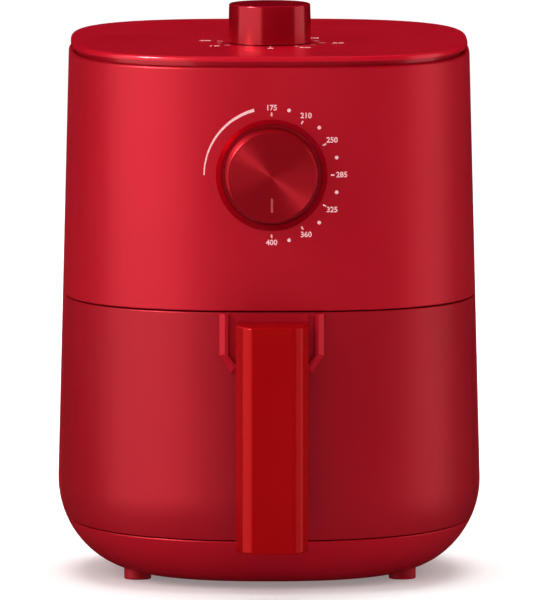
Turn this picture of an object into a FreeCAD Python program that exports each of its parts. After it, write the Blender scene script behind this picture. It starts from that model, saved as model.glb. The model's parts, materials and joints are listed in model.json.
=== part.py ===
import FreeCAD, Part
import functools
import math
import os

from FreeCAD import Vector

# Compact hot-air fryer, in millimetres. +Z is up and the front faces -Y.
# The origin is on the table, under the middle of the whole fryer.

# ---- driving dimensions of the body ----
BODY_Y = 16.0            # the body's own axis; the handle reaches forward of it
FLOOR_GAP = 2.2          # underside of the base above the table
ROUND_TOP = 47.0         # where the upright wall turns into the rounded bottom
ROUND_REACH = 43.0       # how far the bottom rounding runs inward
BODY_TOP = 260.3         # top edge of the housing
TOP_HALF_WIDTH = 99.3
WIDEST_HALF_WIDTH = 104.6
TOP_HALF_DEPTH = 114.5
WIDEST_HALF_DEPTH = 118.0
TOP_POWER = 2.85         # squareness of the plan outline, 2 being an ellipse
LOW_POWER = 2.4
QUARTER_POINTS = 11      # points along each quarter of a plan outline

WALL = 2.5               # housing wall
PANEL_WALL = 2.8         # drawer panel wall
BASE_WALL = 3.0
RETURN_WIDTH = 10.0      # inward return around the drawer opening and under the lid
RETURN_WALL = 2.4
EDGE_ROUND = 0.6
TOP_ROUND = 1.4

SEAM_Z = 140.0           # lower edge of the housing above the drawer
SEAM_GAP = 0.6
SIDE_SEAM_Y = BODY_Y - 30.0
BASE_SEAM_Z = 25.8       # base seam at the front; it rises a little to the back
BASE_SEAM_Y = BODY_Y - 109.5
BASE_SEAM_TILT = 2.0
BASE_SEAM_GAP = 0.5
FAR = 300.0              # half size of the cutting blocks

# ---- lid and timer ----
LID_BOTTOM = 262.9
LID_TOP = 265.4
LID_HALF_WIDTH = 98.3
LID_HALF_DEPTH = 114.8
LID_POWER = 3.0
LID_ROUND = 1.5
SKIRT_INSET = 3.4
SKIRT_WALL = 2.2
LEDGE_TOP = 257.6
LEDGE_BOTTOM = 255.2
LID_POST_RADIUS = 4.5
SHAFT_HOLE_RADIUS = 5.2
TIMER_Y = BODY_Y - 30.7
TIMER_KNOB_RADIUS = 20.6
TIMER_KNOB_TOP_RADIUS = 20.1
TIMER_KNOB_BOTTOM = 265.8
TIMER_KNOB_TOP = 285.0
TIMER_BODY_FRONT = BODY_Y - 60.0
TIMER_BODY_BACK = BODY_Y - 22.0
TIMER_BODY_HALF = 22.0
TIMER_BODY_BOTTOM = 228.0
TIMER_BODY_TOP = 256.0
TIMER_PLATE_TOP = 257.2
TIMER_SCREW_X = 26.0
TIMER_PLATE_HALF = 31.0
TIMER_PLATE_MARGIN = 2.0
TIMER_SCREW_Y = (TIMER_BODY_FRONT + TIMER_BODY_BACK) / 2
TIMER_BORE_FLOOR = TIMER_BODY_BOTTOM + 8.0
TIMER_SHAFT_DROP = 4.0   # shaft end below the knob's top
BELL_HEIGHT = 5.4
SMALL_SCREW_RADIUS = 1.5
SMALL_HEAD_RADIUS = 2.9
SMALL_HEAD_SINK = 1.6
SHAFT_RADIUS = 3.0
RUNNING_BORE = 3.05      # running fit on a 3 mm radius shaft

# ---- temperature dial ----
DIAL_Z = 207.0
DISH_RADIUS = 27.5       # mouth of the dish that the dial sits in
DISH_LIP = 1.4           # straight part of the dish wall, then it tapers
DISH_TAPER = 2.0
DISH_FLOOR_RADIUS = 25.0
DISH_DEPTH = 5.4
DISH_WALL = 2.5
DISH_BORE = 5.0
KNOB_BASE_RADIUS = 23.2
KNOB_FACE_RADIUS = 22.2
KNOB_PROUD = 12.0
KNOB_CHAMFER = 0.9
KNOB_SKIN = 2.4
KNOB_GAP = 0.4           # between the knob's back and the dish floor
POINTER_HALF = 0.5
POINTER_OUTER = 17.4
POINTER_INNER = 10.4
POINTER_DEPTH = 0.5
POINTER_PROUD = 0.05
SHAFT_GRIP = 3.0         # how far a shaft ends below its knob's face
HUB_RADIUS = 6.0
THERMOSTAT_HALF = 20.0
THERMOSTAT_HALF_HEIGHT = 17.0
THERMOSTAT_BUSH = 4.8
BULB_DROP = 11.0         # bulb below the dial's axis
BULB_REACH = 12.0        # bulb behind the thermostat
BULB_HALF = 30.0
CAPILLARY_RADIUS = 1.0
THERMOSTAT_BACK = BODY_Y - 76.0
THERMOSTAT_BORE_END = THERMOSTAT_BACK - 8.0

# ---- drawer ----
PAN_Y = BODY_Y - 2.0
PAN_HALF_WIDTH = 80.0
PAN_HALF_DEPTH = 82.0
PAN_POWER = 4.0
PAN_WALL = 1.5
PAN_BOTTOM = 40.0
PAN_TOP = 132.0
PAN_ROUND = 8.0
RIM_WIDTH = 2.5
RIM_DROP = 1.6
COVER_BACK = BODY_Y - 87.5
COVER_FRONT = BODY_Y - 90.0
PANEL_TOP = SEAM_Z - SEAM_GAP
COVER_TOP = PANEL_TOP - RETURN_WALL - 0.1
COVER_BOTTOM = 33.0
COVER_WALL = 2.5
PAN_SCREW_X = 20.0
PAN_SCREW_Z = 112.0
PAN_HEAD_RADIUS = 4.0
PAN_HEAD_START = 0.3     # head base off the pan's flat, clear of its curve
PAN_HEAD_HEIGHT = 1.2
BRACKET_HALF = 32.0
BRACKET_LOW = 70.0
BRACKET_HIGH = 126.0
BRACKET_REACH = 22.0     # how far the bracket runs back before the pan wall cuts it

# ---- handle ----
HANDLE_FRONT = BODY_Y - 150.0
HANDLE_DEPTH = 13.0
HANDLE_BACK = HANDLE_FRONT + HANDLE_DEPTH
HANDLE_TOP = 135.0
HANDLE_BOTTOM = 23.0
HANDLE_FACE_HALF = 10.7
HANDLE_BEVEL_HALF = 14.9
HANDLE_BEVEL_DEPTH = 3.5
HANDLE_SIDE_HALF = 17.8
HANDLE_EDGE_ROUND = 4.0
HANDLE_END_ROUND = 1.2
HANDLE_SKIN = 2.6
POCKET_MARGIN = 3.0      # pocket above the handle's lower end
COVER_GAP = 0.2
COVER_DEPTH = 3.0
HANDLE_SCREW_BOSS = 3.2
HANDLE_SCREW_LENGTH = 9.0
NECK_HALF = 17.4
NECK_BOTTOM = 113.0
NECK_ROUND = 8.0
BOSS_FRONT = BODY_Y - 120.4
BOSS_HALF = 25.7
BOSS_TOP = PANEL_TOP - 0.5
BOSS_SIDE_BOTTOM = 118.4
BOSS_BOTTOM = 109.6
BOSS_FOOT_HALF = 20.2
BOSS_CHAMFER = 2.6
BOSS_SINK = 15.0         # the boss block's depth before the panel's form is cut away
CHANNEL_INNER = NECK_HALF + 0.3
CHANNEL_OUTER = 21.5
CHANNEL_SIDE_BOTTOM = 118.4
CHANNEL_BOTTOM = 113.6
CHANNEL_DEPTH = 2.8
BOLT_X = 9.0
BOLT_Z = 124.0
BOLT_RADIUS = 2.5
BOLT_GRIP = 8.0          # bolt thread inside the handle
BOLT_HEAD_RADIUS = 4.5
BOLT_HEAD_HEIGHT = 3.0

# ---- crisper tray ----
TRAY_HALF_WIDTH = 76.5
TRAY_HALF_DEPTH = 78.5
TRAY_BOTTOM = 53.0
TRAY_TOP = 54.4
TRAY_SKIRT_BOTTOM = 48.5
TRAY_HOLE_RADIUS = 3.0
TRAY_HOLE_PITCH = 12.5
TRAY_WALL = 1.4
TRAY_MARGIN = 8.0        # unpierced band inside the tray's edge
TRAY_CENTRE_CLEAR = 10.0
TRAY_FOOT_RADIUS = 3.0
TRAY_FOOT_PITCHES = 4.5  # feet stand midway between the holes
TRAY_KNOB_TOP = 72.0
TRAY_KNOB_RADIUS = 9.0
TRAY_KNOB_HEIGHT = 7.0
TRAY_STEM_RADIUS = 4.0

# ---- bay, base and feet ----
BAY_HALF_WIDTH = 84.0
BAY_BACK = BODY_Y + 86.0
BAY_FRONT = SIDE_SEAM_Y + 2.8
BAY_CORNER = 30.0
SHEET = 1.2
FLOOR_BOTTOM = 36.5
FLOOR_TOP = 39.0
FLOOR_INSET = 15.0
FLOOR_LEG_X = 60.0
FLOOR_LEG_Y = 55.0
FLOOR_LEG_RADIUS = 6.0
RAIL_TOP = PAN_BOTTOM - 0.3
RAIL_X = 55.0
RAIL_HALF = 4.0
RAIL_HALF_LENGTH = 60.0
DECK_TOP = -2.5          # below the base seam plane
DECK_BOTTOM = -5.0
POST_X = 45.0
POST_Y = 52.0
POST_RADIUS = 7.0
POST_TOP = 60.0          # above the deck, which cuts the posts off
SINK_RADIUS = 4.5        # counterbore for a base screw's head
SINK_TOP = 8.0
HEAD_RADIUS = 4.0
HEAD_BOTTOM = 5.5
SCREW_RADIUS = 2.0
BASE_SLOTS = 4           # cooling slots each side of the middle one
SLOT_PITCH = 7.0
SLOT_HALF_WIDTH = 1.5
SLOT_HALF_LENGTH = 24.0
FOOT_X = 65.5
FOOT_Y = 42.0
FOOT_RADIUS = 6.7
FOOT_BLOCK_TOP = 9.0     # inside the base, whose form cuts the foot off
FOOT_ROUND = 0.8

# ---- heat chamber, element, fan and motor ----
CHAMBER_Y = BODY_Y + 4.0
CHAMBER_HALF_WIDTH = 80.0
CHAMBER_HALF_DEPTH = 76.0
CHAMBER_TOP = 206.2
CHAMBER_FLANGE = 6.0
CEILING_BOTTOM = SEAM_Z + 0.4
CEILING_TOP = SEAM_Z + RETURN_WALL
PAD_TOP = 208.7
PAD_INSET = 5.0
SHAFT_CLEARANCE_HOLE = 6.0
VENT_ROWS = 4
VENT_LOW = 172.0
VENT_PITCH = 7.0
VENT_HEIGHT = 3.5
VENT_HALF = 28.0
COIL_RADIUS = 62.0
COIL_TUBE = 3.2
COIL_LOW = 168.0
COIL_HIGH = 178.0
COIL_RETURN = 75.0       # where the lower turn bends up into the upper one, in degrees
LEAD_ANGLES = (95.0, 105.0)
LEAD_BEND = 6.0
LEAD_TOP = 216.0
GUARD_Z = 158.0
GUARD_WIRE = 1.4
GUARD_RINGS = (28.0, 43.0, 58.0, 73.0)
GUARD_SPOKE_HALF = 1.1
GUARD_SPOKE_LOW = GUARD_Z - 2.2
GUARD_SPOKE_HIGH = GUARD_Z - 0.6
TERMINAL_RADIUS = 1.4
TERMINAL_HEIGHT = 3.5
CUTOUT_X = 45.0          # thermal cut-out on top of the chamber
CUTOUT_Y = BODY_Y - 25.0
CUTOUT_RADIUS = 7.8
CUTOUT_HEIGHT = 8.0
TAB_HEIGHT = 4.0
TAB_X = 4.0
TAB_HALF_WIDTH = 3.0
TAB_HALF_THICKNESS = 0.4
WHEEL_HUB_RADIUS = 9.0
BLADE_START = 14.0
BLADE_MARGIN = 4.0
BLADE_HALF = 0.6
IMPELLER_RADIUS = 55.0
IMPELLER_BOTTOM = 189.0
IMPELLER_HUB_BOTTOM = 192.0
IMPELLER_PLATE = 201.8
IMPELLER_TOP = 203.0
IMPELLER_BLADES = 12
IMPELLER_LEAN = 25.0
NUT_RADIUS = 6.0
NUT_BOTTOM = 188.0
SHAFT_BOTTOM = 187.0
FAN_RADIUS = 36.0
FAN_BOTTOM = 210.4
FAN_PLATE = 211.4
FAN_BLADE_TOP = 217.6
FAN_TOP = 218.0
FAN_BLADES = 9
FAN_LEAN = 20.0
BRACKET_BOTTOM = 220.0
BRACKET_TOP = 221.5
BRACKET_RADIUS = 50.0
LEG_RADIUS = 3.5
LEG_CIRCLE = 46.0
MOTOR_RADIUS = 23.0
MOTOR_TOP = 245.5
CAP_WALL = 2.5
ROTOR_RADIUS = 11.2
ROTOR_CAVITY = 11.8
ROTOR_BOTTOM = 226.0
ROTOR_TOP = 241.0
MOTOR_SCREW_CIRCLE = 18.0
MOTOR_HEAD_HEIGHT = 1.8
BRACKET_HOLE = 12.0
BRACKET_VENT_CIRCLE = 34.0
BRACKET_VENT_RADIUS = 6.0

# ---- back of the housing ----
GRILLE_HALF = 42.0
GRILLE_LOW = 165.0
GRILLE_HIGH = 225.0
GRILLE_GAP = 0.3
GRILLE_FLANGE = 4.0
GRILLE_BACK = WALL + 1.7
GRILLE_MARGIN = 6.0      # unslotted band round the louvers
LOUVER_PITCH = 6.6
LOUVER_HEIGHT = 3.2
DUCT_HALF = 40.0
DUCT_LOW = 168.0
DUCT_HIGH = 205.0
DUCT_WALL = 1.0
GLAND_X = 40.0
GLAND_Z = 60.0
GLAND_HOLE = 6.5
GLAND_BODY = 6.4
GLAND_FLANGE = 9.5
GLAND_BACK = BODY_Y + 116.4
GLAND_ROUND = 1.2
GLAND_BORE = 3.6
SWITCH_Z = 125.0
SWITCH_HALF_WIDTH = 10.0
SWITCH_HALF_HEIGHT = 8.0
SWITCH_DEPTH = 15.0
PLUNGER_RADIUS = 2.0
PLUNGER_LENGTH = 10.0    # inside the switch
TERMINAL_BLOCK_HALF = 14.0
TERMINAL_BLOCK_LOW = 60.0
TERMINAL_BLOCK_HIGH = 76.0
TERMINAL_BLOCK_DEPTH = 12.0
WELL_RADIUS = 2.0
WELL_DEPTH = 6.0


# ---------------------------------------------------------------- helpers
def box(x0, x1, y0, y1, z0, z1):
    return Part.makeBox(x1 - x0, y1 - y0, z1 - z0, Vector(x0, y0, z0))


def rod(radius, start, end):
    axis = end - start
    return Part.makeCylinder(radius, axis.Length, start, axis)


def post(radius, x, y, z0, z1):
    return rod(radius, Vector(x, y, z0), Vector(x, y, z1))


def bar_y(radius, x, z, y0, y1):
    return rod(radius, Vector(x, y0, z), Vector(x, y1, z))


def polar(radius, degrees, z, centre_y):
    angle = math.radians(degrees)
    return Vector(radius * math.cos(angle), centre_y + radius * math.sin(angle), z)


def join(shapes):
    return shapes[0].multiFuse(shapes[1:]).removeSplitter()


def plan_wire(z, half_x, half_y, power, centre_y):
    """Closed superellipse outline at height z, as four quarter curves."""
    quarters = []
    for quarter in range(4):
        points = []
        for i in range(QUARTER_POINTS):
            angle = math.pi / 2 * (quarter + i / (QUARTER_POINTS - 1))
            across = abs(math.cos(angle) / half_x) ** power
            along = abs(math.sin(angle) / half_y) ** power
            reach = (across + along) ** (-1.0 / power)
            points.append(Vector(reach * math.cos(angle), centre_y + reach * math.sin(angle), z))
        curve = Part.BSplineCurve()
        curve.interpolate(Points=points, InitialTangent=quarter_tangent(quarter),
                          FinalTangent=quarter_tangent(quarter + 1))
        quarters.append(curve.toShape())
    return Part.Wire(quarters)


def quarter_tangent(quarter):
    angle = math.pi / 2 * quarter
    return Vector(-math.sin(angle), math.cos(angle), 0)


def plan_prism(half_x, half_y, power, centre_y, z0, z1):
    face = Part.Face(plan_wire(z0, half_x, half_y, power, centre_y))
    return face.extrude(Vector(0, 0, z1 - z0))


# ---------------------------------------------------------------- body form
def flare(z):
    """0 at the top edge of the body, 1 at its widest level."""
    return (BODY_TOP - z) / (BODY_TOP - ROUND_TOP)


def wall_section(z, inset):
    half_x = TOP_HALF_WIDTH + (WIDEST_HALF_WIDTH - TOP_HALF_WIDTH) * flare(z)
    half_y = TOP_HALF_DEPTH + (WIDEST_HALF_DEPTH - TOP_HALF_DEPTH) * flare(z)
    power = TOP_POWER + (LOW_POWER - TOP_POWER) * flare(z)
    return plan_wire(z, half_x - inset, half_y - inset, power, BODY_Y)


def rounded_section(turn, inset):
    """Section of the bottom rounding, turn degrees below the widest level."""
    angle = math.radians(turn)
    drop = (ROUND_TOP - FLOOR_GAP - inset) * math.sin(angle)
    lost = ROUND_REACH - (ROUND_REACH - inset) * math.cos(angle)
    half_x = WIDEST_HALF_WIDTH - lost
    half_y = WIDEST_HALF_DEPTH - lost
    return plan_wire(ROUND_TOP - drop, half_x, half_y, LOW_POWER, BODY_Y)


@functools.lru_cache(maxsize=None)
def body_form(inset):
    """The whole body's outer form, drawn in by inset all round."""
    middle = (ROUND_TOP + BODY_TOP) / 2
    wall = Part.makeLoft([wall_section(z, inset) for z in (ROUND_TOP, middle, BODY_TOP)], True, False)
    bowl = Part.makeLoft([rounded_section(turn, inset) for turn in range(90, -1, -15)], True, False)
    return wall.fuse(bowl).removeSplitter()


def is_flat(face):
    return isinstance(face.Surface, Part.Plane)


def above_base_seam(shift):
    slab = box(-FAR, FAR, -FAR, FAR, BASE_SEAM_Z + shift, BASE_SEAM_Z + shift + FAR)
    slab.rotate(Vector(0, BASE_SEAM_Y, BASE_SEAM_Z), Vector(1, 0, 0), BASE_SEAM_TILT)
    return slab


def layer(z0, z1):
    return box(-FAR, FAR, -FAR, FAR, z0, z1)


def front_of(y):
    return box(-FAR, FAR, -FAR, y, -FAR, FAR)


def behind(y):
    return box(-FAR, FAR, y, FAR, -FAR, FAR)


def front_half_depth(z):
    return TOP_HALF_DEPTH + (WIDEST_HALF_DEPTH - TOP_HALF_DEPTH) * flare(z)


FORM = body_form(0.0)
FORM_SKIN = Part.makeCompound([face for face in FORM.Faces if not is_flat(face)])
RETURN_BACK = SIDE_SEAM_Y + 2.7
DIAL_FRONT = BODY_Y - front_half_depth(DIAL_Z)
DISH_FLOOR = DIAL_FRONT + DISH_DEPTH
KNOB_FACE = DIAL_FRONT - KNOB_PROUD
KNOB_BACK = DISH_FLOOR - KNOB_GAP
BULB_Z = DIAL_Z - BULB_DROP
REAR_FACE = BAY_BACK + SHEET


# ---------------------------------------------------------------- housing
def dial_dish():
    """Cup behind the dial opening, before it is hollowed."""
    outer = bar_y(DISH_RADIUS + DISH_WALL, 0, DIAL_Z, DIAL_FRONT, DISH_FLOOR + DISH_WALL)
    return outer.common(body_form(WALL / 2))


def dish_hollow():
    """Straight lip, a taper like a shallow cone, and the well behind it."""
    taper_start = DIAL_FRONT + DISH_LIP
    lip = bar_y(DISH_RADIUS, 0, DIAL_Z, -FAR, taper_start)
    taper = Part.makeCone(DISH_RADIUS, DISH_FLOOR_RADIUS, DISH_TAPER, Vector(0, taper_start, DIAL_Z),
                          Vector(0, 1, 0))
    well = bar_y(DISH_FLOOR_RADIUS, 0, DIAL_Z, taper_start, DISH_FLOOR)
    return join([lip, taper, well, bar_y(DISH_BORE, 0, DIAL_Z, DISH_FLOOR, 0)])


def round_edges(shape, radius, wanted):
    edges = [edge for edge in shape.Edges if wanted(edge)]
    return shape.makeFillet(radius, edges)


def is_level(edge, z):
    span = edge.LastParameter - edge.FirstParameter
    heights = [edge.valueAt(edge.FirstParameter + part * span).z for part in (0.0, 0.3, 0.7, 1.0)]
    return max(abs(height - z) for height in heights) < 0.01


def on_form(edge):
    """True for an edge that runs along the body's outer surface."""
    span = edge.LastParameter - edge.FirstParameter
    for part in (0.1, 0.5, 0.9):
        place = Part.Vertex(edge.valueAt(edge.FirstParameter + part * span))
        if FORM_SKIN.distToShape(place)[0] > 0.02:
            return False
    return True


def housing_block():
    """Outside of the housing as one solid, with its rims rounded."""
    upper = FORM.common(layer(SEAM_Z, FAR))
    upper = round_edges(upper, EDGE_ROUND, lambda e: is_level(e, SEAM_Z))
    upper = round_edges(upper, TOP_ROUND, lambda e: is_level(e, BODY_TOP))
    rear = FORM.common(layer(0.0, SEAM_Z + 3.0)).common(behind(SIDE_SEAM_Y + SEAM_GAP / 2))
    return upper.fuse(rear.common(above_base_seam(0.0)))


def housing_shell():
    """Thin shell with a lid ledge at the top and a return round the drawer opening."""
    shell = housing_block().cut(body_form(RETURN_WIDTH))
    hollow = body_form(WALL)
    shell = shell.cut(hollow.common(layer(LEDGE_TOP, FAR)))
    shell = shell.cut(hollow.common(layer(CEILING_TOP, LEDGE_BOTTOM)))
    shell = shell.cut(hollow.common(layer(0.0, CEILING_TOP)).common(behind(RETURN_BACK)))
    shell = shell.fuse(dial_dish()).cut(dish_hollow())
    shell = shell.cut(box(-GRILLE_HALF, GRILLE_HALF, BODY_Y, FAR, GRILLE_LOW, GRILLE_HIGH))
    return shell.cut(bar_y(GLAND_HOLE, GLAND_X, GLAND_Z, BODY_Y, FAR))


def lid_cover():
    plate = plan_prism(LID_HALF_WIDTH, LID_HALF_DEPTH, LID_POWER, BODY_Y, LID_BOTTOM, LID_TOP)
    plate = round_edges(plate, LID_ROUND, lambda e: is_level(e, LID_TOP))
    skirt = plan_prism(TOP_HALF_WIDTH - SKIRT_INSET, TOP_HALF_DEPTH - SKIRT_INSET, TOP_POWER, BODY_Y,
                       LEDGE_TOP, LID_BOTTOM)
    hollow = plan_prism(TOP_HALF_WIDTH - SKIRT_INSET - SKIRT_WALL, TOP_HALF_DEPTH - SKIRT_INSET - SKIRT_WALL,
                        TOP_POWER, BODY_Y, LEDGE_TOP, LID_BOTTOM)
    lid = join([plate, skirt.cut(hollow)])
    for x in timer_screw_places():
        lid = lid.fuse(post(LID_POST_RADIUS, x, TIMER_SCREW_Y, TIMER_PLATE_TOP, LID_BOTTOM))
    lid = lid.cut(post(SHAFT_HOLE_RADIUS, 0, TIMER_Y, LID_BOTTOM, LID_TOP))
    for x in timer_screw_places():
        lid = lid.cut(post(SMALL_SCREW_RADIUS, x, TIMER_SCREW_Y, TIMER_PLATE_TOP, LID_BOTTOM - 1.0))
    return lid


def timer_screw_places():
    return (-TIMER_SCREW_X, TIMER_SCREW_X)


def base_pan():
    block = FORM.cut(above_base_seam(0.0))
    block = round_edges(block, EDGE_ROUND, lambda e: on_form(e) and e.BoundBox.ZMax > BASE_SEAM_Z)
    parts = [block.cut(body_form(BASE_WALL))]
    for x, y in base_post_places():
        low = FLOOR_GAP + BASE_WALL / 2
        parts.append(post(POST_RADIUS, x, y, low, POST_TOP).cut(above_base_seam(DECK_BOTTOM)))
    pan = join(parts)
    for x, y in base_post_places():
        pan = pan.cut(post(SINK_RADIUS, x, y, 0.0, SINK_TOP))
        pan = pan.cut(post(SCREW_RADIUS, x, y, 0.0, POST_TOP))
    for row in range(-BASE_SLOTS, BASE_SLOTS + 1):
        y = BODY_Y + row * SLOT_PITCH
        slot = box(-SLOT_HALF_LENGTH, SLOT_HALF_LENGTH, y - SLOT_HALF_WIDTH, y + SLOT_HALF_WIDTH, 0, SINK_TOP)
        pan = pan.cut(slot)
    return pan


def base_post_places():
    return [(sx * POST_X, BODY_Y + sy * POST_Y) for sx in (-1, 1) for sy in (-1, 1)]


def base_deck():
    deck = body_form(BASE_WALL + 0.2).common(above_base_seam(DECK_BOTTOM)).cut(above_base_seam(DECK_TOP))
    for x, y in base_post_places():
        deck = deck.cut(post(SCREW_RADIUS, x, y, 0.0, POST_TOP))
    return deck


def base_screws():
    screws = []
    for x, y in base_post_places():
        shank = post(SCREW_RADIUS, x, y, HEAD_BOTTOM + 1.0, POST_TOP).cut(above_base_seam(DECK_TOP + 1.0))
        screws.append(shank.fuse(post(HEAD_RADIUS, x, y, HEAD_BOTTOM, SINK_TOP)))
    return Part.makeCompound(screws)


def foot(side, end):
    x = side * FOOT_X
    y = BODY_Y + end * FOOT_Y
    pad = post(FOOT_RADIUS, x, y, 0.0, FOOT_BLOCK_TOP)
    pad = round_edges(pad, FOOT_ROUND, lambda e: is_level(e, 0.0))
    return pad.cut(FORM)


# ---------------------------------------------------------------- bay
def bay_ceiling():
    plate = body_form(WALL + 0.1).common(layer(CEILING_BOTTOM, CEILING_TOP))
    front_rim = front_of(RETURN_BACK + 0.1).common(layer(0.0, FAR)).cut(body_form(RETURN_WIDTH + 0.1))
    return plate.cut(front_rim).cut(chamber_block(0.0, SEAM_Z, CEILING_TOP + 1.0))


def bay_outline(grow, z0, z1):
    """Round-cornered U plan of the bay, open to the front."""
    half = BAY_HALF_WIDTH + grow
    back = BAY_BACK + grow
    block = box(-half, half, BAY_FRONT, back, z0, z1)

    def is_rear_corner(edge):
        upright = edge.BoundBox.ZLength > (z1 - z0) * 0.9
        return upright and edge.BoundBox.YMin > back - 1.0

    return round_edges(block, BAY_CORNER + grow, is_rear_corner)


def bay_liner():
    liner = bay_outline(SHEET, FLOOR_TOP, CEILING_BOTTOM).cut(bay_outline(0.0, FLOOR_TOP, CEILING_BOTTOM))
    return liner.cut(bar_y(PLUNGER_RADIUS + 0.6, 0, SWITCH_Z, BODY_Y, FAR))


def bay_floor():
    plate = body_form(FLOOR_INSET).common(layer(FLOOR_BOTTOM, FLOOR_TOP))
    plate = plate.common(behind(PAN_Y - PAN_HALF_DEPTH))
    legs = []
    for x in (-FLOOR_LEG_X, FLOOR_LEG_X):
        for y in (BODY_Y - FLOOR_LEG_Y, BODY_Y + FLOOR_LEG_Y):
            leg = post(FLOOR_LEG_RADIUS, x, y, 0.0, FLOOR_BOTTOM)
            legs.append(leg.common(above_base_seam(DECK_TOP)))
    return join([plate] + legs)


def glide_rails():
    front = PAN_Y - RAIL_HALF_LENGTH
    back = PAN_Y + RAIL_HALF_LENGTH
    rails = [box(x - RAIL_HALF, x + RAIL_HALF, front, back, FLOOR_TOP, RAIL_TOP) for x in (-RAIL_X, RAIL_X)]
    return Part.makeCompound(rails)


# ---------------------------------------------------------------- drawer
def drawer_front():
    """Curved panel with a return along all its edges."""
    block = FORM.common(front_of(SIDE_SEAM_Y - SEAM_GAP / 2)).common(layer(0.0, PANEL_TOP))
    block = block.common(above_base_seam(BASE_SEAM_GAP))
    block = round_edges(block, EDGE_ROUND, is_panel_rim)
    inside = layer(0.0, PANEL_TOP - RETURN_WALL).common(above_base_seam(BASE_SEAM_GAP + RETURN_WALL))
    inside = inside.common(front_of(SIDE_SEAM_Y - SEAM_GAP / 2 - RETURN_WALL))
    panel = block.cut(body_form(RETURN_WIDTH)).cut(body_form(PANEL_WALL).common(inside))
    for x in (-BOLT_X, BOLT_X):
        panel = panel.cut(bar_y(BOLT_RADIUS, x, BOLT_Z, -FAR, 0))
    return panel


def is_panel_rim(edge):
    """Outer edges of the drawer panel, without the joins inside its surface."""
    if not on_form(edge):
        return False
    limits = edge.BoundBox
    top = is_level(edge, PANEL_TOP)
    side = limits.YMin > SIDE_SEAM_Y - SEAM_GAP / 2 - 0.1
    bottom = limits.ZMax < BASE_SEAM_Z + 5.0
    return top or side or bottom


def drawer_cover():
    """Black inner cover that closes the back of the drawer panel."""
    inside = body_form(PANEL_WALL + 0.1)
    plate = inside.common(behind(COVER_FRONT)).common(front_of(COVER_BACK))
    plate = plate.common(layer(COVER_BOTTOM, COVER_TOP))
    shelf = inside.common(front_of(COVER_BACK))
    top = shelf.common(layer(COVER_TOP - COVER_WALL, COVER_TOP))
    low = shelf.common(layer(COVER_BOTTOM, COVER_BOTTOM + COVER_WALL))
    cover = join([plate, top, low])
    for x in (-PAN_SCREW_X, PAN_SCREW_X):
        cover = cover.cut(bar_y(SCREW_RADIUS, x, PAN_SCREW_Z, -FAR, 0))
    return cover


def pan_block(inset, z0, round_radius):
    block = plan_prism(PAN_HALF_WIDTH - inset, PAN_HALF_DEPTH - inset, PAN_POWER, PAN_Y, z0, PAN_TOP)
    return round_edges(block, round_radius, lambda e: is_level(e, z0))


def pan():
    outer = pan_block(0.0, PAN_BOTTOM, PAN_ROUND)
    rim = plan_prism(PAN_HALF_WIDTH + RIM_WIDTH, PAN_HALF_DEPTH + RIM_WIDTH, PAN_POWER, PAN_Y,
                     PAN_TOP - RIM_DROP, PAN_TOP)
    shell = join([outer, rim]).cut(pan_block(PAN_WALL, PAN_BOTTOM + PAN_WALL, PAN_ROUND - PAN_WALL))
    for x in (-PAN_SCREW_X, PAN_SCREW_X):
        shell = shell.cut(bar_y(SCREW_RADIUS, x, PAN_SCREW_Z, -FAR, 0))
    return shell


def pan_bracket():
    back = PAN_Y - PAN_HALF_DEPTH + BRACKET_REACH
    plate = box(-BRACKET_HALF, BRACKET_HALF, COVER_BACK, back, BRACKET_LOW, BRACKET_HIGH)
    plate = plate.cut(plan_prism(PAN_HALF_WIDTH, PAN_HALF_DEPTH, PAN_POWER, PAN_Y, PAN_BOTTOM, PAN_TOP))
    for x in (-PAN_SCREW_X, PAN_SCREW_X):
        plate = plate.cut(bar_y(SCREW_RADIUS, x, PAN_SCREW_Z, -FAR, 0))
    return plate


def pan_screws():
    seat = PAN_Y - PAN_HALF_DEPTH + PAN_WALL + PAN_HEAD_START
    tip = seat + PAN_HEAD_HEIGHT
    screws = []
    for x in (-PAN_SCREW_X, PAN_SCREW_X):
        shank = bar_y(SCREW_RADIUS, x, PAN_SCREW_Z, COVER_FRONT - 1.5, seat + PAN_HEAD_HEIGHT / 2)
        head = bar_y(PAN_HEAD_RADIUS, x, PAN_SCREW_Z, seat, tip)
        head = round_edges(head, PAN_HEAD_HEIGHT / 2, lambda e: e.BoundBox.YMin > tip - 0.1)
        screws.append(shank.fuse(head))
    return Part.makeCompound(screws)


def front_face(corners, y):
    """Flat face at depth y with the given (across, height) corners."""
    points = [Vector(x, y, z) for x, z in corners]
    return Part.Face(Part.makePolygon(points + points[:1]))


def boss_channel(side):
    """Groove in the boss beside the handle's neck."""
    corners = [(side * CHANNEL_INNER, FAR), (side * CHANNEL_OUTER, FAR),
               (side * CHANNEL_OUTER, CHANNEL_SIDE_BOTTOM), (side * CHANNEL_INNER, CHANNEL_BOTTOM)]
    return front_face(corners, BOSS_FRONT).extrude(Vector(0, CHANNEL_DEPTH, 0))


def handle_boss():
    corners = [(-BOSS_HALF, BOSS_TOP), (-BOSS_HALF, BOSS_SIDE_BOTTOM), (-BOSS_FOOT_HALF, BOSS_BOTTOM),
               (BOSS_FOOT_HALF, BOSS_BOTTOM), (BOSS_HALF, BOSS_SIDE_BOTTOM), (BOSS_HALF, BOSS_TOP)]
    block = front_face(corners, BOSS_FRONT).extrude(Vector(0, BOSS_SINK, 0))

    def is_front(edge):
        return edge.BoundBox.YMax < BOSS_FRONT + 0.01 and edge.BoundBox.ZMin < BOSS_TOP - 0.01

    edges = [edge for edge in block.Edges if is_front(edge)]
    boss = block.makeChamfer(BOSS_CHAMFER, edges).cut(FORM)
    for side in (-1, 1):
        boss = boss.cut(boss_channel(side))
    for x in (-BOLT_X, BOLT_X):
        boss = boss.cut(bar_y(BOLT_RADIUS, x, BOLT_Z, -FAR, 0))
    return boss


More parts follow.
